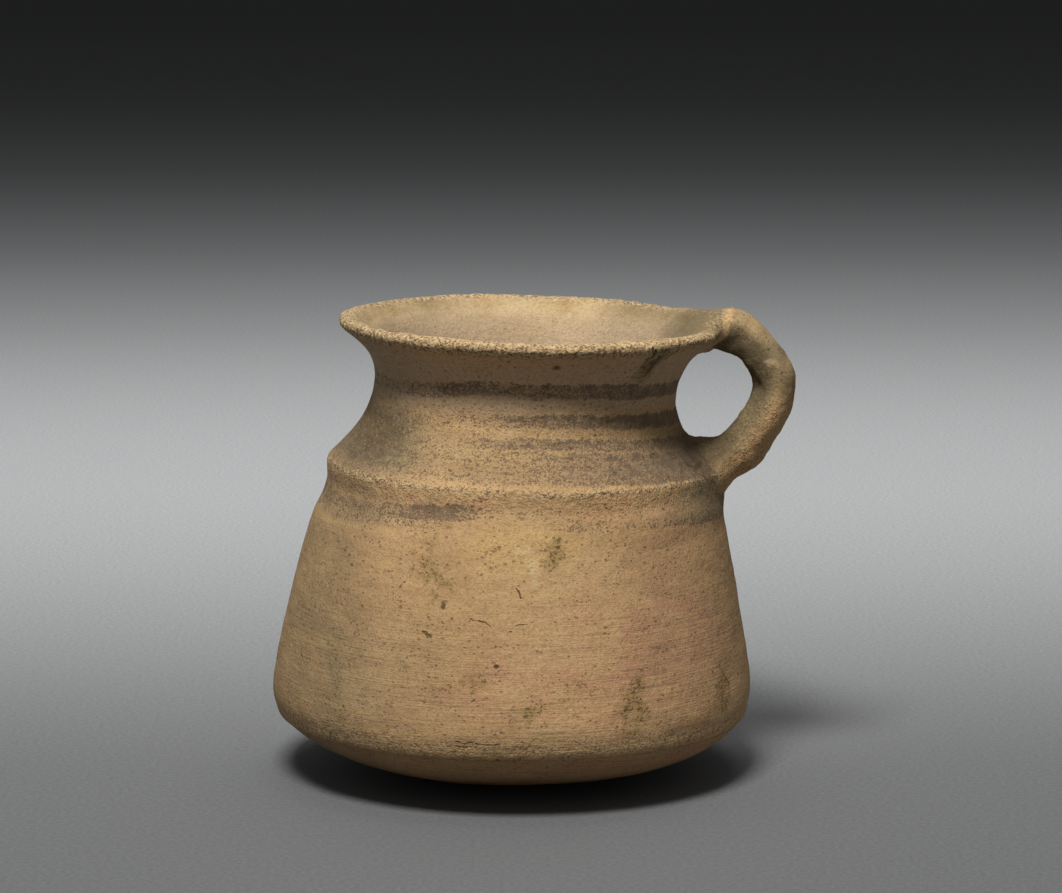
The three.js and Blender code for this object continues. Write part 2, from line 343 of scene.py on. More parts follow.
def outer_radius(level):
    """Radius of the upright pot at a level, from just below the foot to the top of the lip."""
    outline = np.array([[FOOT_RADIUS * 0.5, -0.01], *OUTSIDE, *LIP_TURN[:6]])
    order = np.argsort(outline[:, 1])
    return np.interp(level, outline[order, 1], outline[order, 0])


def coordinates(mesh):
    flat = np.empty(len(mesh.vertices) * 3)
    mesh.vertices.foreach_get("co", flat)
    return flat.reshape(-1, 3) / MM


def normals(mesh):
    flat = np.empty(len(mesh.vertices) * 3, np.float32)
    mesh.vertex_normals.foreach_get("vector", flat)
    return flat.reshape(-1, 3).astype(float)


def grain(points, scale, seed=0.0):
    """Smooth noise from -1 to 1 at each point, given in millimetres."""
    shifted = points / np.array(scale, float) + seed
    return np.array([noise.noise(Vector(p)) for p in shifted])


# Roots of the handle, where fingers smoothed the clay: centre, reach, half width, in millimetres
ROOTS = [
    (LIP_POINT + Vector((-1, 0, -2)), 15, 15),
    (RIDGE_POINT + Vector((-0.5, 0, 1)), 13, 12.5),
]
SMOOTHINGS = 14


def round_roots(piece):
    bm = bmesh.new()
    bm.from_mesh(piece.data)
    near = []
    for v in bm.verts:
        p = v.co / MM
        if any((p - centre).length < reach and abs(p.y) < half for centre, reach, half in ROOTS):
            near.append(v)
    for _ in range(SMOOTHINGS):
        bmesh.ops.smooth_vert(bm, verts=near, factor=0.5, use_axis_x=True, use_axis_y=True, use_axis_z=True)
    bm.to_mesh(piece.data)
    bm.free()


# Lumps and hollows in millimetres: place, radius, height along the surface's own direction
LUMPS = [
    ((45.8, 0.0, 79.8), 6.5, -0.8),
    ((50.8, -3.5, 101.2), 3.8, 1.9),
    ((54.6, -4.5, 97.2), 3.2, 1.2),
    ((55.8, -5.0, 95.4), 1.7, 0.7),
    ((57.4, -4.0, 92.6), 2.6, -0.9),
    ((47.2, 13.5, 107.2), 8.5, 0.9),
    ((44.8, 19.5, 107.2), 13.0, 0.9),
    ((52.6, -4.0, 99.4), 2.6, 1.0),
    ((50.0, -3.0, 82.4), 4.0, 0.8),
    ((57.0, 0.0, 75.0), 6.5, 1.2),
    ((51.2, 0.0, 68.6), 4.5, -0.9),
    ((46.3, -5.5, 101.6), 2.6, 0.8),
    ((60.5, -6.0, 84.0), 4.0, 0.5),
    ((63.0, -2.0, 99.0), 5.0, -0.5),
    ((-14.5, -42.5, 107.9), 2.0, -1.2),
    ((8.6, -45.3, 107.2), 2.4, -0.8),
    ((24.0, -40.0, 106.4), 2.0, -0.8),
    ((26.0, -37.5, 107.9), 2.4, 0.5),
    ((-34.0, -29.0, 108.4), 3.0, -0.6),
]


def beside_route(co):
    """How far each point lies outside the handle's centre line, in the XZ plane."""
    route = handle_route()[1]
    ahead = np.gradient(route, axis=0)
    ahead /= np.linalg.norm(ahead, axis=1)[:, None]
    nearest = np.argmin(((co[:, None, [0, 2]] - route[None]) ** 2).sum(2), axis=1)
    away = co[:, [0, 2]] - route[nearest]
    return away[:, 1] * ahead[nearest, 0] - away[:, 0] * ahead[nearest, 1]


class Survey:
    """Where each point of the even skin lies: degrees, millimetres, and shares from 0 to 1."""

    def __init__(self, co):
        x, self.level = upright(co[:, 0], co[:, 2])
        self.angle = np.degrees(np.arctan2(co[:, 1], x))
        self.proud = np.hypot(x, co[:, 1]) - outer_radius(self.level)
        self.inside = smooth(-1.2, -2.6, self.proud) * smooth(3.5, 6, self.level)
        self.strap = smooth(0.5, 2.0, self.proud) * (co[:, 0] > 30) * smooth(14, 11, np.abs(co[:, 1]))
        self.skin = (1 - self.inside) * (1 - self.strap)
        self.beside = beside_route(co)


def unevenness(co, at):
    """How far each point is pushed out, in millimetres: uneven turning, dents, chips and lumps."""
    stretched = np.stack([co[:, 0] * 0.12, co[:, 1] * 0.12, at.level], 1)
    dents = 0.26 * grain(co, (19, 19, 16), 3.1) + 0.08 * grain(co, (5, 5, 4), 7.7)
    turning = 0.1 * grain(stretched, (1, 1, 2.4), 1.7)
    push = at.skin * (dents + turning) + at.inside * (dents * 1.4 + turning)
    push += at.strap * (0.35 * grain(co, (4.5, 4.5, 4.5), 2.2) + 0.16 * grain(co, (1.7, 1.7, 1.7), 9.4))
    push += at.skin * swelling(at.angle, at.level)
    lip = smooth(105.2, 106.8, at.level) * (1 - at.strap)
    push += lip * (0.24 * grain(co, (2.6, 2.6, 2.6), 4.4) - 0.12)
    push *= smooth(0.5, 3, at.level)
    for centre, reach, height in LUMPS:
        push += height * smooth(reach, 0, np.linalg.norm(co - np.array(centre), axis=1))
    return push


def swelling(angle, level):
    """Crisp lower edge all round, and a fuller bowl and collar and a slimmer neck towards the handle."""
    edge = 0.45 * band(level, 14.2, 16.4, 1.3)
    bowl = 1.1 * arc(angle, -40, 40, 50) * band(level, 5, 15, 4)
    collar = 0.75 * np.cos(np.radians(angle)) * band(level, 64, 71, 3)
    neck = 1.1 * arc(angle, -30, 30, 40) * band(level, 80, 93, 4)
    return edge + bowl + collar - neck


# How far the uneven skin stays inside the CAD's box, and the unit of stored levels, in millimetres
BOX_MARGIN, LEVEL_UNIT = 0.02, 100


def weather(piece):
    """Makes the skin uneven, inside the CAD's box, and stores the masks for the clay's colours."""
    mesh = piece.data
    co = coordinates(mesh)
    at = Survey(co)
    pushed = co + normals(mesh) * unevenness(co, at)[:, None]
    low, high = np.array(first_bounds) / MM
    pushed = np.clip(pushed, low + BOX_MARGIN, high - BOX_MARGIN)
    mesh.vertices.foreach_set("co", (pushed * MM).ravel())
    mesh.update()
    masks = {
        "level": at.level / LEVEL_UNIT,
        "paint_level": (at.level - round_pot(at.angle, DRIFT)) / LEVEL_UNIT,
        "inside": at.inside,
        "strap": at.strap,
        "wear": wear_mask(at),
        "blush": blush_mask(at),
        "gold": np.clip(soft_patches(at, GOLDEN), 0, 1) * at.skin,
        "grime": grime_mask(at),
        "moss": np.clip(soft_patches(at, MOSS), 0, 1.2) * at.skin,
    }
    below_lip = smooth(RIM_HEIGHT - 1, RIM_HEIGHT - 3, at.level)
    for number, (_, _, strengths) in enumerate(BANDS):
        masks[f"band_{number}"] = round_pot(at.angle, strengths) * at.skin * below_lip
    for name, values in masks.items():
        layer = mesh.attributes.new(name, "FLOAT", "POINT")
        layer.data.foreach_set("value", values.astype(np.float32))


def arc(angle, start, end, soft=14):
    """1 between two angles in degrees, fading over soft degrees beyond them."""
    middle, half = (start + end) / 2, (end - start) / 2
    away = np.abs((angle - middle + 180) % 360 - 180)
    return smooth(half + soft, half, away)


def round_pot(angle, keys):
    """Value at each angle between the (angle, value) keys round the pot."""
    places, values = zip(*keys)
    return np.interp(angle, places, values, period=360)


def band(level, low, high, soft=0.5):
    return smooth(low - soft, low + soft, level) * smooth(high + soft, high - soft, level)


def spot(angle, level, centre, height, across, tall):
    """A soft round patch: its angle, level, and half sizes in degrees and millimetres."""
    away = np.abs((angle - centre + 180) % 360 - 180)
    return smooth(1, 0, np.hypot(away / across, (level - height) / tall))


def soft_patches(at, places):
    """Sum of soft patches, each at its own strength."""
    return sum(strength * spot(at.angle, at.level, *where) for strength, *where in places)


# Soft patches: strength, angle, level, half width in degrees, half height in millimetres
MOSS = [
    (1.3, -60, 26, 8, 13),
    (1.1, -30, 25, 9, 11),
    (1.1, -80, 60, 6, 13),
    (0.8, -87, 26, 8, 7),
    (0.75, -111, 58, 13, 17),
    (0.6, -100, 33, 9, 5),
    (0.6, -118, 34, 8, 5),
    (0.6, -76, 31, 7, 6),
    (0.6, -104, 54, 12, 6),
    (0.5, -66, 56, 10, 9),
    (0.6, -90, 16, 70, 2.2),
    (0.7, 40, 40, 9, 12),
    (0.6, 120, 28, 12, 7),
    (0.6, 165, 55, 8, 12),
    (1.2, -46, 102.5, 8, 8),
]
BLUSH = [(0.9, -52, 38, 52, 34), (0.45, -100, 30, 34, 16)]
GOLDEN = [(1, -90, 63, 34, 13), (0.8, -98, 82, 34, 7)]

# Dirty patches: left shoulder, under the handle's root, by the crack in the lip, lower left, collar
GRIME = [
    (0.35, -150, 83, 30, 10),
    (0.75, -8, 80, 38, 9),
    (0.9, -46, 102.5, 8, 8),
    (0.34, -118, 30, 46, 32),
    (1, -14, 70, 50, 9),
]

# How far the painted bands wander up or down, in millimetres, at angles round the pot
DRIFT = [
    (-150, -2.2), (-132, -1.7), (-111, -0.2), (-88, 0), (-62, -0.4), (-36, -1.3), (-12, -2.2),
    (60, -2), (120, -1),
]

# Painted bands: lowest and highest level, then (angle, strength) round the pot
BANDS = [
    (94.8, 98.3, [
        (-170, 0.34), (-128, 0.38), (-118, 0.56), (-106, 0.5), (-96, 0.42), (-84, 0.56), (-66, 0.64),
        (-30, 0.7), (60, 0.66), (130, 0.5),
    ]),
    (88.0, 91.3, [
        (-170, 0.28), (-110, 0.22), (-98, 0.4), (-86, 0.54), (-72, 0.56), (-60, 0.76), (-30, 0.8),
        (60, 0.7), (130, 0.45),
    ]),
    (83.1, 85.8, [
        (-170, 0.28), (-112, 0.24), (-98, 0.5), (-80, 0.5), (-60, 0.54), (-30, 0.62), (60, 0.6),
        (130, 0.35),
    ]),
    (76.0, 83.0, [
        (-170, 0.38), (-140, 0.36), (-112, 0.3), (-90, 0.38), (-70, 0.5), (-50, 0.62), (-25, 0.78),
        (40, 0.66), (110, 0.35),
    ]),
    (67.9, 71.2, [
        (-175, 0.52), (-150, 0.46), (-130, 0.5), (-119, 0.74), (-109, 0.68), (-101, 0.3), (-92, 0.2),
        (-70, 0.14), (40, 0.2), (130, 0.4),
    ]),
    (65.9, 68.9, [
        (-170, 0.3), (-140, 0.42), (-116, 0.32), (-104, 0.16), (-84, 0.14), (-72, 0.36), (-60, 0.24),
        (-48, 0.34), (-30, 0.5), (20, 0.5), (90, 0.4), (150, 0.3),
    ]),
]


def tongue_mask(at):
    """1 on the tongue of clay over the lip, at the head of the handle."""
    return smooth(44, 16, np.abs(at.angle - 4)) * smooth(97, 103, at.level) * smooth(1, -1.5, at.proud)


def grime_mask(at):
    """Dirt on the outside and the lining, and dirt with painted shade on the strap, darkest on its inner
    face. Painted shade also falls on the outer side of the strap's upper part and on the tongue of clay,
    painted light lifts the outer side of its lower part, a grey cast is painted into the neck's shade, and
    the outside is darker towards the foot.
    """
    angle, level, beside = at.angle, at.level, at.beside
    outside = soft_patches(at, GRIME) + 0.45 * arc(angle, -215, -148, 34)
    outside += 0.28 * arc(angle, -50, 20, 30) * band(level, 18, 62, 8)
    # A dirty band on the shoulder; a grey cast on the neck, painted against the warm light bounced into its
    # shade; and darker towards the foot
    outside += 0.3 * band(level, 76, 88, 2) + 0.12 * band(level, 91, 105, 3) + 0.25 * smooth(16, 8, level)
    # Painted shade, with dirt: the strap's inner face, darkest on its upper part, where it turns from the
    # light
    raised = 1.6 * smooth(94, 100, level)
    inner_face = smooth(0.9 + raised, -3.1 + raised, beside)
    on_strap = 0.3 + 0.45 * inner_face + 0.3 * inner_face * smooth(88, 95, level)
    # Painted shade on the outer side of the strap's upper part, which faces away from the light
    on_strap += 0.3 * smooth(-1, 2, beside) * band(level, 92, 101, 4)
    # Painted shade on the inner side just below the strap's head
    on_strap += 0.4 * smooth(-2, 0.5, beside) * band(level, 101.5, 104.5, 1.5)
    on_strap += 0.22 * smooth(103, 106, level)
    # Painted light: the outer side of the strap's lower part is made paler, standing in for light bounced
    # up from the floor
    on_strap -= 0.3 * smooth(0, 3, beside) * band(level, 70, 88, 3)
    lining = 0.22 + 0.25 * arc(angle, 130, 215, 30) + 0.35 * arc(angle, -10, 52, 20)
    mixed = outside * at.skin + on_strap * at.strap + lining * at.inside * (1 - at.strap)
    # Painted shade on the tongue of clay at the head of the handle, which is tilted away from the light
    return np.maximum(np.clip(mixed, 0, 1.1), 0.85 * tongue_mask(at) * (1 - at.strap))


def wear_mask(at):
    """Rubbed lip, ridge and keel, with less on the strap, its head and the tongue of clay."""
    lip = smooth(104.6, 105.6, at.level) * smooth(-5.2, -3.2, at.proud)
    ridge = band(at.level, 74.0, 74.8, 0.3) * smooth(-1.2, -0.2, at.proud)
    keel = band(at.level, 15.5, 18.5, 1.2) * 0.4
    head = smooth(17, 9, np.abs(at.angle)) * smooth(99, 103, at.level)
    spared = (1 - 0.8 * at.strap) * (1 - 0.8 * np.maximum(tongue_mask(at), head))
    return np.clip(lip + 0.9 * ridge + keel, 0, 1) * spared


def blush_mask(at):
    """Pink patches, and faint pink on the bowl, collar and neck."""
    blush = soft_patches(at, BLUSH) + 0.4 * band(at.level, 2, 15, 3)
    blush += 0.3 * band(at.level, 68, 73, 1) + 0.2 * band(at.level, 99.5, 105, 1)
    return np.clip(blush, 0, 0.9) * at.skin


# Node helpers
def link(tree, kind, inputs=None, **settings):
    made = tree.nodes.new(kind)
    for key, value in settings.items():
        setattr(made, key, value)
    for key, value in (inputs or {}).items():
        if isinstance(value, bpy.types.NodeSocket):
            tree.links.new(value, made.inputs[key])
        else:
            made.inputs[key].default_value = value
    return made


def maths(tree, operation, a, b=0.0):
    return link(tree, "ShaderNodeMath", {0: a, 1: b}, operation=operation).outputs[0]


def vector_maths(tree, operation, inputs, result=0):
    return link(tree, "ShaderNodeVectorMath", inputs, operation=operation).outputs[result]


def step(tree, value, low, high):
    made = link(
        tree, "ShaderNodeMapRange", {"Value": value, "From Min": low, "From Max": high},
        interpolation_type="SMOOTHSTEP",
    )
    return made.outputs["Result"]


def mix(tree, share, one, other, blend="MIX"):
    made = tree.nodes.new("ShaderNodeMix")
    made.data_type, made.blend_type = "RGBA", blend
    for socket, value in ((made.inputs[0], share), (made.inputs[6], one), (made.inputs[7], other)):
        if isinstance(value, bpy.types.NodeSocket):
            tree.links.new(value, socket)
        else:
            socket.default_value = value
    return made.outputs[2]


def speckle(tree, vector, scale, detail=2.0, roughness=0.5):
    made = link(
        tree, "ShaderNodeTexNoise",
        {"Vector": vector, "Scale": scale, "Detail": detail, "Roughness": roughness},
    )
    return made.outputs[0]


def attribute(tree, name):
    return link(tree, "ShaderNodeAttribute", attribute_name=name).outputs["Fac"]


def tone(red, green, blue):
    """Linear colour from the 0 to 255 values of a colour chart."""
    def linear(v):
        v /= 255
        return v / 12.92 if v <= 0.04045 else ((v + 0.055) / 1.055) ** 2.4
    return (linear(red), linear(green), linear(blue), 1)


BUFF = tone(183, 147, 104)
SAND = tone(192, 157, 112)
GOLD = tone(199, 164, 106)
PINK = tone(194, 145, 110)
ROSE = tone(162, 122, 95)
OLIVE = tone(96, 78, 46)
MOSSY = tone(138, 116, 64)
GREYISH = tone(126, 111, 82)
CREAM = tone(178, 154, 117)
PALE = tone(204, 180, 134)
# Soot, and painted shade where the strap and the tongue of clay turn from the light
SOOT_AND_SHADE = tone(80, 66, 46)
LINING = tone(183, 160, 122)
# Painted fill light for the neck's shade under the flare
NECK_PAINTED_FILL = tone(186, 162, 134)
HONEY = tone(170, 134, 86)
PAINT_DARK = tone(96, 82, 68)
PAINT_GREY = tone(118, 103, 85)
WASH = tone(124, 100, 76)
UMBER = tone(112, 84, 60)
BLACK = tone(48, 38, 33)
RUSTY = tone(88, 60, 38)
RUST = tone(104, 60, 34)
MOTTLE_DARK, MOTTLE_LIGHT = (0.87, 0.85, 0.82, 1), (1.12, 1.12, 1.12, 1)

# Pits: cells to a metre, width as a share of a cell, rarity, how dark
PITS = [
    (480, 0.17, 1.08, 0.85),
    (800, 0.24, 0.9, 0.64),
    (1300, 0.34, 0.79, 0.5),
]

# Marks: (angle, level) points on the outside or (x, y, z) points, in degrees and millimetres, then
# the width in millimetres and the colour
MARKS = [
    ([(-108.3, 49.0)], 1.1, BLACK),
    ([(-89.7, 53.6), (-89.1, 52.6), (-88.6, 51.4)], 0.34, BLACK),
    ([(-101.0, 46.5), (-97.0, 45.6), (-94.6, 44.0), (-90.6, 44.0)], 0.22, OLIVE),
    ([(-89.4, 45.2), (-85.4, 46.0)], 0.18, OLIVE),
    ([(-100.4, 27.6), (-98.5, 28.6)], 0.26, OLIVE),
    ([(-88.4, 61.8), (-87.2, 59.6), (-86.2, 57.2)], 3.0, PALE),
    ([(-86.0, 56.4), (-85.2, 54.6)], 1.4, PALE),
    ([(-93.7, 36.3)], 0.8, BLACK),
    ([(-81.4, 102.7)], 1.3, RUST),
    ([(-102.8, 18.9), (-92.4, 18.7)], 0.3, BLACK),
    ([(-104.0, 17.9), (-98.0, 17.8)], 0.28, BLACK),
    ([(-34.3, 26.4), (-33.6, 25.6)], 0.9, PALE),
    ([(-48.0, 37.4), (-46.6, 36.6)], 0.7, PALE),
    ([(-113.0, 42.9), (-110.6, 42.1)], 0.5, OLIVE),
    ([(-121.0, 52.0), (-118.4, 54.8)], 0.25, OLIVE),
    ([(-52.5, 107.0), (-50.5, 105.4), (-51.4, 104.0)], 0.5, BLACK),
    ([(-47.0, 106.6), (-46.0, 104.0), (-44.4, 101.6), (-45.4, 99.4)], 0.36, BLACK),
    ([(-41.0, 106.4), (-42.0, 103.6)], 0.4, OLIVE),
    ([(-50.8, 106.4), (-49.6, 104.8), (-50.2, 103.0)], 0.4, BLACK),
    ([(-49.0, 105.6), (-46.8, 104.6)], 0.3, BLACK),
    ([(-48.6, 103.4), (-45.8, 102.4)], 0.35, OLIVE),
    ([(60.2, -6.7, 98.8), (62.4, -6.6, 98.3)], 1.2, PALE),
    ([(-26.0, 77.6), (-22.0, 76.6), (-16.0, 77.0)], 0.9, OLIVE),
    ([(-66.5, 107.2), (-64.6, 107.0)], 0.9, PALE),
    ([(42.0, -8.0, 106.2), (46.1, -8.0, 104.6)], 0.9, PALE),
]


def near_line(tree, place, start, end):
    """Distance in metres from a straight stroke between two points on the surface."""
    run = end - start
    offset = vector_maths(tree, "SUBTRACT", {0: place, 1: start})
    along = vector_maths(tree, "DOT_PRODUCT", {0: offset, 1: run}, "Value")
    share = link(
        tree, "ShaderNodeMath", {0: along, 1: 1 / max(run.length_squared, 1e-12)},
        operation="MULTIPLY", use_clamp=True,
    ).outputs[0]
    reach = vector_maths(tree, "SCALE", {0: run, "Scale": share})
    return vector_maths(tree, "DISTANCE", {0: offset, 1: reach}, "Value")


def surface_point(angle, level):
    """Point on the outside at an angle round the axis, in degrees, and a level in millimetres."""
    radius = float(outer_radius(level))
    x, y = radius * math.cos(math.radians(angle)), radius * math.sin(math.radians(angle))
    x, z = lean(np.array(x), np.array(float(level)))
    return Vector((float(x), y, float(z))) * MM


def stroke(tree, place, points, width):
    """1 along a mark, falling to 0 at its width in millimetres. A single point makes a round spot."""
    spots = [surface_point(*point) if len(point) == 2 else Vector(point) * MM for point in points]
    nearest = None
    for start, end in zip(spots, spots[1:] or spots):
        away = near_line(tree, place, start, end)
        nearest = away if nearest is None else maths(tree, "MINIMUM", nearest, away)
    return step(tree, nearest, width * MM, width * MM * 0.35)


def pits(tree, vector, scale, size, rarity, clusters):
    """1 in scattered round pits, which are more likely where the clusters are near 1."""
    cells = link(tree, "ShaderNodeTexVoronoi", {"Vector": vector, "Scale": scale})
    chance = link(tree, "ShaderNodeSeparateColor", {0: cells.outputs["Color"]}).outputs
    widest = maths(tree, "MULTIPLY", maths(tree, "ADD", chance[1], 0.35), size)
    depth = maths(tree, "SUBTRACT", widest, cells.outputs["Distance"])
    near = step(tree, depth, 0, size * 0.35)
    likely = maths(tree, "ADD", chance[0], maths(tree, "MULTIPLY", clusters, 0.5))
    rare = step(tree, likely, rarity, rarity + 0.04)
    return maths(tree, "MULTIPLY", near, rare)


class Clay:
    """Node tree of the fired clay, with the patterns and masks that its layers share."""

    def __init__(self, tree):
        self.tree = tree
        self.place = link(tree, "ShaderNodeTexCoord").outputs["Object"]
        self.apart = link(tree, "ShaderNodeSeparateXYZ", {0: self.place})
        self.level, self.inside, self.gold = (attribute(tree, name) for name in ("level", "inside", "gold"))
        self.wear, self.blush = attribute(tree, "wear"), attribute(tree, "blush")
        self.grime, self.moss = attribute(tree, "grime"), attribute(tree, "moss")
        self.height_mm = self.times(self.level, LEVEL_UNIT)
        self.paint_mm = self.times(attribute(tree, "paint_level"), LEVEL_UNIT)
        self.clouds = speckle(tree, self.place, 24, 4, 0.55)
        self.blotches = speckle(tree, self.place, 110, 5, 0.62)
        self.patches = speckle(tree, self.place, 420, 4, 0.6)
        self.sandy = speckle(tree, self.place, 1250, 2, 0.6)
        self.fine = speckle(tree, self.place, 2500, 2, 0.6)
        self.lines = speckle(tree, self.along_turn(0.03), 2500, 3, 0.62)
        self.bands = speckle(tree, self.along_turn(0.06), 620, 4, 0.55)
        self.turned = self.step(attribute(tree, "strap"), 0.6, 0.1)
        self.keel_edge = self.step(self.plus(self.height_mm, self.times(self.patches, 1.6)), 15.5, 16.0)
        gritty = self.plus(self.plus(self.times(self.band_at(70, 92, 3), 0.6), self.wear), 0.3)
        self.gritty = self.times(gritty, self.step(self.patches, 0.3, 0.56))

    def times(self, value, factor):
        return maths(self.tree, "MULTIPLY", value, factor)

    def plus(self, value, other):
        return maths(self.tree, "ADD", value, other)

    def most(self, value, other):
        return maths(self.tree, "MAXIMUM", value, other)

    def step(self, value, low, high):
        return step(self.tree, value, low, high)

    def over(self, colour, share, other):
        return mix(self.tree, share, colour, other)

    def along_turn(self, squeeze):
        """Object coordinates squeezed round the pot, so that a pattern is drawn out into wheel lines."""
        squeezed = {
            "X": self.times(self.apart.outputs[0], squeeze),
            "Y": self.times(self.apart.outputs[1], squeeze),
            "Z": self.times(self.level, LEVEL_UNIT * MM),
        }
        return link(self.tree, "ShaderNodeCombineXYZ", squeezed).outputs[0]

    def shaken(self, vector, scale, reach):
        """The vector pushed about by noise, up to half the reach in millimetres."""
        inputs = {"Vector": self.place, "Scale": scale, "Detail": 2.0}
        noisy = link(self.tree, "ShaderNodeTexNoise", inputs).outputs["Color"]
        centred = vector_maths(self.tree, "SUBTRACT", {0: noisy, 1: (0.5, 0.5, 0.5)})
        scaled = vector_maths(self.tree, "SCALE", {0: centred, "Scale": reach * MM})
        return vector_maths(self.tree, "ADD", {0: vector, 1: scaled})

    def band_at(self, bottom, top, soft):
        rising = self.step(self.height_mm, bottom - soft, bottom + soft)
        return self.times(rising, self.step(self.height_mm, top + soft, top - soft))

    def paint_between(self, bottom, top):
        """1 on a painted band, its edges wavering with the brush."""
        waver = maths(self.tree, "MULTIPLY_ADD", speckle(self.tree, self.place, 210, 3, 0.6), 2.4)
        waver.node.inputs[2].default_value = -1.2
        at = self.plus(self.paint_mm, waver)
        rising = self.step(at, bottom - 0.6, bottom + 0.6)
        return self.times(rising, self.step(at, top + 0.6, top - 0.6))


def ground_colour(clay):
    """Fired clay drifting from golden to pink, paler inside, grey and greenish where it is dirty and in
    painted shade on the strap and the tongue of clay, and less so in painted light on the strap's lower
    outer side.
    """
    times, plus, over, step = clay.times, clay.plus, clay.over, clay.step
    colour = mix(clay.tree, step(clay.clouds, 0.4, 0.62), BUFF, SAND)
    golden = step(plus(clay.blotches, times(clay.gold, 0.3)), 0.5, 0.85)
    colour = over(colour, times(golden, 0.6), GOLD)
    pink = step(plus(clay.blotches, times(clay.blush, 0.4)), 0.5, 0.95)
    colour = over(colour, times(pink, 0.95), PINK)
    colour = over(colour, times(step(clay.patches, 0.56, 0.7), 0.22), ROSE)
    colour = over(colour, times(clay.inside, 0.9), LINING)
    honeyed = step(plus(clay.blotches, clay.patches), 0.97, 1.09)
    colour = over(colour, times(times(honeyed, clay.inside), 0.5), HONEY)
    uneven = plus(times(clay.blotches, 0.6), times(clay.patches, 0.4))
    # Grey where dirty, and as painted shade where the strap and the tongue of clay turn from the light
    dirt_and_shade = step(plus(uneven, times(clay.grime, 1.1)), 0.55, 1.4)
    return over(colour, times(dirt_and_shade, 0.95), GREYISH)


def lines_share(clay):
    """How plainly the wheel lines show, most on the lower wall."""
    low_wall = clay.times(clay.step(clay.height_mm, 56, 36), 0.6)
    shoulder = clay.times(clay.band_at(72, 90, 3), 0.3)
    return clay.times(clay.plus(low_wall, clay.plus(shoulder, 0.25)), clay.turned)


def with_wheel_lines(clay, colour):
    times, over, step = clay.times, clay.over, clay.step
    share = lines_share(clay)
    colour = over(colour, times(step(clay.lines, 0.46, 0.32), times(share, 0.38)), OLIVE)
    colour = over(colour, times(step(clay.lines, 0.54, 0.68), times(share, 0.36)), CREAM)
    colour = over(colour, times(step(clay.bands, 0.52, 0.68), times(clay.turned, 0.24)), ROSE)
    return over(colour, times(step(clay.bands, 0.46, 0.34), times(clay.turned, 0.16)), GOLD)


def with_grain(clay, colour):
    """Neck painted paler to lift its shade, the mottled grain of the clay, soot in the dirtiest places with
    painted shade on the strap's inner face and the tongue of clay, and its coarse grit.
    """
    times, plus, over, step = clay.times, clay.plus, clay.over, clay.step
    # Painted fill light: the neck, shaded by the flare, is made paler and greyer
    colour = over(colour, times(times(clay.band_at(91, 104.5, 3), clay.turned), 0.6), NECK_PAINTED_FILL)
    mottle = plus(plus(times(clay.fine, 0.3), times(clay.sandy, 0.35)), times(clay.patches, 0.35))
    mottled = mix(clay.tree, step(mottle, 0.37, 0.63), MOTTLE_DARK, MOTTLE_LIGHT)
    colour = mix(clay.tree, 1.0, colour, mottled, "MULTIPLY")
    # Soot in the dirtiest places, and painted shade on the strap's inner face and the tongue of clay
    colour = over(colour, times(step(clay.grime, 0.6, 1.05), 0.6), SOOT_AND_SHADE)
    colour = over(colour, times(step(clay.sandy, 0.54, 0.68), times(clay.gritty, 0.5)), CREAM)
    colour = over(colour, times(step(clay.fine, 0.47, 0.33), times(clay.gritty, 0.6)), UMBER)
    return over(colour, times(step(clay.sandy, 0.42, 0.3), times(clay.gritty, 0.5)), OLIVE)


def with_painted_bands(clay, colour):
    """Bands of dark slip, rubbed through to the clay in grains and patches."""
    times, plus, over, step = clay.times, clay.plus, clay.over, clay.step
    worn = plus(times(step(clay.fine, 0.32, 0.68), 0.36), times(step(clay.sandy, 0.32, 0.68), 0.26))
    worn = plus(worn, times(step(clay.patches, 0.34, 0.66), 0.2))
    worn = plus(worn, times(step(clay.bands, 0.34, 0.66), 0.18))
    paint = 0.0
    for number, (bottom, top, strengths) in enumerate(BANDS):
        painted = times(clay.paint_between(bottom, top), attribute(clay.tree, f"band_{number}"))
        paint = clay.most(paint, painted)
    cover = step(maths(clay.tree, "SUBTRACT", paint, worn), -0.16, 0.12)
    colour = over(colour, times(step(paint, 0.05, 0.8), 0.5), WASH)
    brush = mix(clay.tree, step(clay.patches, 0.42, 0.6), PAINT_DARK, PAINT_GREY)
    brush = over(brush, times(step(clay.sandy, 0.5, 0.64), 0.5), UMBER)
    brush = over(brush, times(step(clay.lines, 0.5, 0.64), 0.5), WASH)
    return over(colour, times(times(cover, step(paint, 0.02, 0.2)), 0.74), brush)


def with_worn_edges(clay, colour):
    """Smooth brown bowl below the crisp lower edge of the wall, then the rubbed lip, ridge and keel."""
    times, plus, over, step = clay.times, clay.plus, clay.over, clay.step
    below = maths(clay.tree, "SUBTRACT", 1.0, plus(clay.keel_edge, clay.inside))
    colour = over(colour, times(below, 0.3), UMBER)
    grit = plus(times(step(clay.fine, 0.4, 0.56), 0.55), times(step(clay.sandy, 0.4, 0.58), 0.4))
    colour = over(colour, times(clay.wear, grit), CREAM)
    colour = over(colour, times(times(clay.wear, step(clay.sandy, 0.5, 0.62)), 0.65), PALE)
    colour = over(colour, times(times(clay.wear, step(clay.sandy, 0.49, 0.38)), 0.75), UMBER)
    return over(colour, times(times(clay.wear, step(clay.fine, 0.42, 0.32)), 0.8), OLIVE)


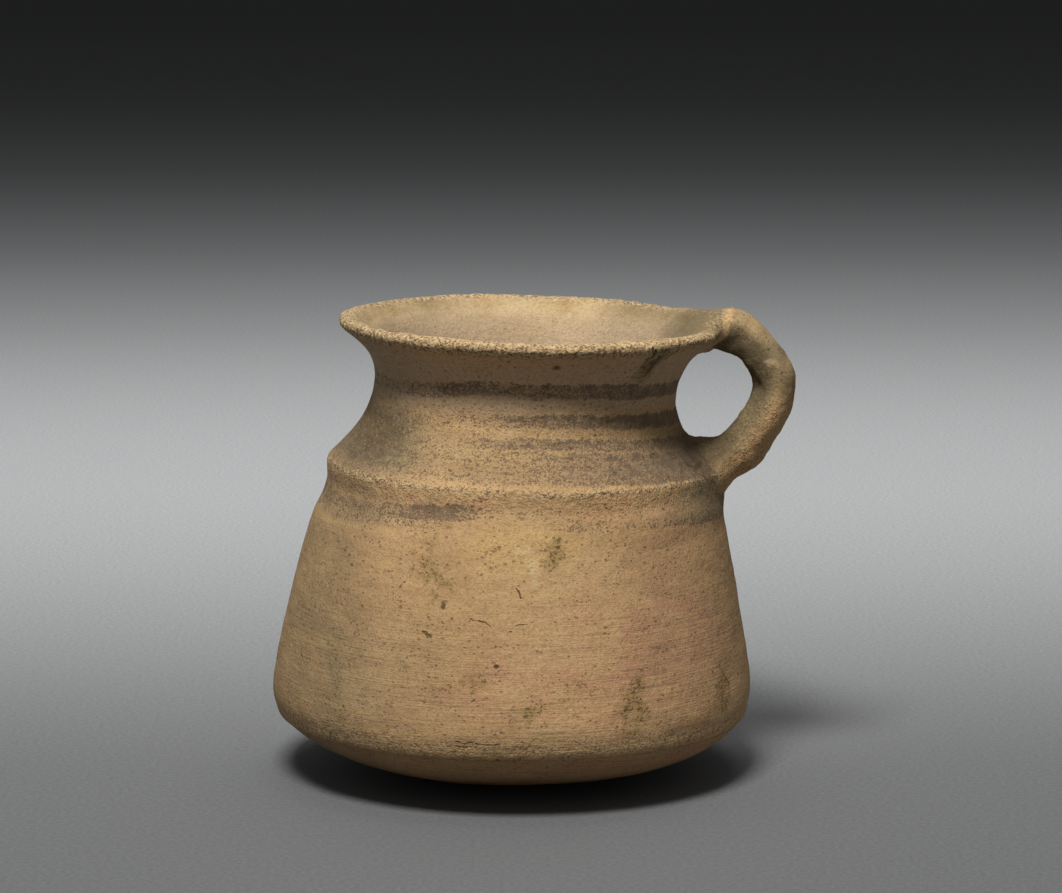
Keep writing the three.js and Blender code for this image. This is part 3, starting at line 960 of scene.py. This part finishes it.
def with_pits(clay, colour):
    """Clustered pits and olive moss. Gives the colour and how deep the pits are, from 0 to 1."""
    times, plus, over, step = clay.times, clay.plus, clay.over, clay.step
    uneven = plus(times(clay.blotches, 0.8), times(clay.patches, 1.2))
    mossy = step(plus(times(clay.moss, 0.4), uneven), 1.16, 1.5)
    gathered = plus(step(clay.blotches, 0.48, 0.6), times(mossy, 1.3))
    bent = clay.shaken(clay.along_turn(0.75), 1400, 0.6)
    dark = 0.0
    for scale, size, rarity, strength in PITS:
        dark = clay.most(dark, times(pits(clay.tree, bent, scale, size, rarity, gathered), strength))
    open_skin = maths(clay.tree, "SUBTRACT", 1.0, times(clay.inside, 0.8))
    dark = times(times(dark, open_skin), plus(times(step(clay.fine, 0.38, 0.56), 0.5), 0.5))
    colour = over(colour, times(mossy, 0.45), MOSSY)
    colour = over(colour, dark, mix(clay.tree, step(clay.blotches, 0.42, 0.58), RUSTY, OLIVE))
    return over(colour, times(times(step(clay.sandy, 0.48, 0.58), mossy), 0.8), OLIVE), dark


def with_marks(clay, colour, scars):
    """Scratches, stains and pale scuffs. Gives the colour and the scars with the scratches added."""
    rough_place = clay.shaken(clay.place, 420, 1.5)
    for points, width, shade in MARKS:
        drawn = stroke(clay.tree, rough_place, points, width)
        scuff = shade is PALE
        rubbed = clay.step(clay.patches, 0.36, 0.6) if scuff else clay.step(clay.fine, 0.3, 0.5)
        ragged = clay.times(drawn, rubbed)
        colour = clay.over(colour, clay.times(ragged, 0.55 if scuff else 0.85), shade)
        if not scuff:
            scars = clay.most(scars, ragged)
    return colour, scars


# Depth of the fine relief, in metres
RELIEF = 0.00032


def surface_bump(clay, scars):
    """Wheel lines, grit, the edge over the bowl, and the scars sunk into them."""
    times, plus = clay.times, clay.plus
    height = times(clay.lines, times(lines_share(clay), 0.55))
    height = plus(height, times(clay.fine, plus(times(clay.gritty, 0.5), 0.17)))
    height = plus(height, times(clay.keel_edge, 1.2))
    height = plus(height, plus(times(clay.patches, 0.35), times(clay.sandy, times(clay.gritty, 0.75))))
    height = maths(clay.tree, "SUBTRACT", height, times(scars, 0.8))
    inputs = {"Strength": 0.9, "Distance": RELIEF, "Height": height}
    return link(clay.tree, "ShaderNodeBump", inputs).outputs[0]


def clay_material():
    material = bpy.data.materials.new("worn_painted_clay")
    material.use_nodes = True
    tree = material.node_tree
    tree.nodes.clear()
    clay = Clay(tree)
    colour = ground_colour(clay)
    for layer in (with_wheel_lines, with_grain, with_painted_bands, with_worn_edges):
        colour = layer(clay, colour)
    colour, scars = with_pits(clay, colour)
    colour, scars = with_marks(clay, colour, scars)
    skin = {
        "Base Color": colour,
        "Roughness": clay.plus(clay.times(clay.fine, 0.2), 0.8),
        "Normal": surface_bump(clay, scars),
        "Specular IOR Level": 0.2,
    }
    shader = link(tree, "ShaderNodeBsdfPrincipled", skin)
    link(tree, "ShaderNodeOutputMaterial", {"Surface": shader.outputs[0]})
    return material


# Grey studio with painted light: metres behind the pot, and how grey the paper is painted there, brightest
# behind the pot as a painted pool of light that fades to painted darkness further back
FLOOR_PAINTED_LIGHT = [
    (-0.2, 0.12), (0.0, 0.14), (0.12, 0.25), (0.25, 0.42), (0.38, 0.56), (0.56, 0.62),
    (0.77, 0.5), (1.06, 0.29), (1.46, 0.1), (2.0, 0.045), (2.9, 0.025),
]


def floor_material():
    material = bpy.data.materials.new("grey_paper_painted_light")
    material.use_nodes = True
    tree = material.node_tree
    shader = tree.nodes["Principled BSDF"]
    place = link(tree, "ShaderNodeTexCoord").outputs["Object"]
    back = link(tree, "ShaderNodeSeparateXYZ", {0: place}).outputs[1]
    start, end = FLOOR_PAINTED_LIGHT[0][0], FLOOR_PAINTED_LIGHT[-1][0]
    share = maths(tree, "DIVIDE", maths(tree, "SUBTRACT", back, start), end - start)
    # Painted light: the ramp lays the pool of light and its falloff into the paper's colour
    ramp = link(tree, "ShaderNodeValToRGB", {0: share})
    ramp.color_ramp.interpolation = "B_SPLINE"
    stops = ramp.color_ramp.elements
    stops.remove(stops[1])
    for at, grey in FLOOR_PAINTED_LIGHT:
        stop = stops[0] if at == start else stops.new((at - start) / (end - start))
        stop.position, stop.color = (at - start) / (end - start), (grey * 0.99, grey, grey, 1)
    paper = speckle(tree, place, 900, 3, 0.6)
    grainy = mix(tree, step(tree, paper, 0.3, 0.7), (0.9, 0.9, 0.9, 1), (1.1, 1.1, 1.1, 1))
    tree.links.new(mix(tree, 1.0, ramp.outputs[0], grainy, "MULTIPLY"), shader.inputs["Base Color"])
    shader.inputs["Roughness"].default_value = 0.9
    shader.inputs["Specular IOR Level"].default_value = 0.1
    return material


# Lamps: name, place and size in metres, power in watts
LAMPS = [("key", (-0.13, -0.54, 0.98), 0.3, 12.9), ("overhead", (0.05, 0.2, 0.9), 0.5, 2)]
LAMPS_AIM = Vector((0, 0, 0.05))
WORLD_COLOUR, WORLD_LIGHT = (0.95, 0.97, 1, 1), 0.195


def studio():
    bm = bmesh.new()
    bmesh.ops.create_grid(bm, x_segments=1, y_segments=1, size=6)
    floor = to_object(bm, "floor")
    floor.data.materials.append(floor_material())
    world = bpy.data.worlds.new("studio")
    world.use_nodes = True
    background = world.node_tree.nodes["Background"]
    background.inputs[0].default_value = WORLD_COLOUR
    background.inputs[1].default_value = WORLD_LIGHT
    bpy.context.scene.world = world
    for lamp in LAMPS:
        softbox(*lamp)


def softbox(name, place, size, power):
    data = bpy.data.lights.new(name, "AREA")
    data.size, data.energy = size, power
    lamp = bpy.data.objects.new(name, data)
    lamp.location = place
    aim = LAMPS_AIM - Vector(place)
    lamp.rotation_euler = aim.to_track_quat("-Z", "Y").to_euler()
    bpy.context.scene.collection.objects.link(lamp)


bpy.context.scene.view_settings.view_transform = "Standard"
place_camera()
jug = clay_skin()
round_roots(jug)
weather(jug)
jug.data.materials.clear()
jug.data.materials.append(clay_material())
for face in jug.data.polygons:
    face.use_smooth = True
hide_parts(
    "base_bowl", "body_wall", "neck_and_rim", "handle", "handle_rim_pad", "handle_shoulder_pad"
)
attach(jug, "root")
studio()
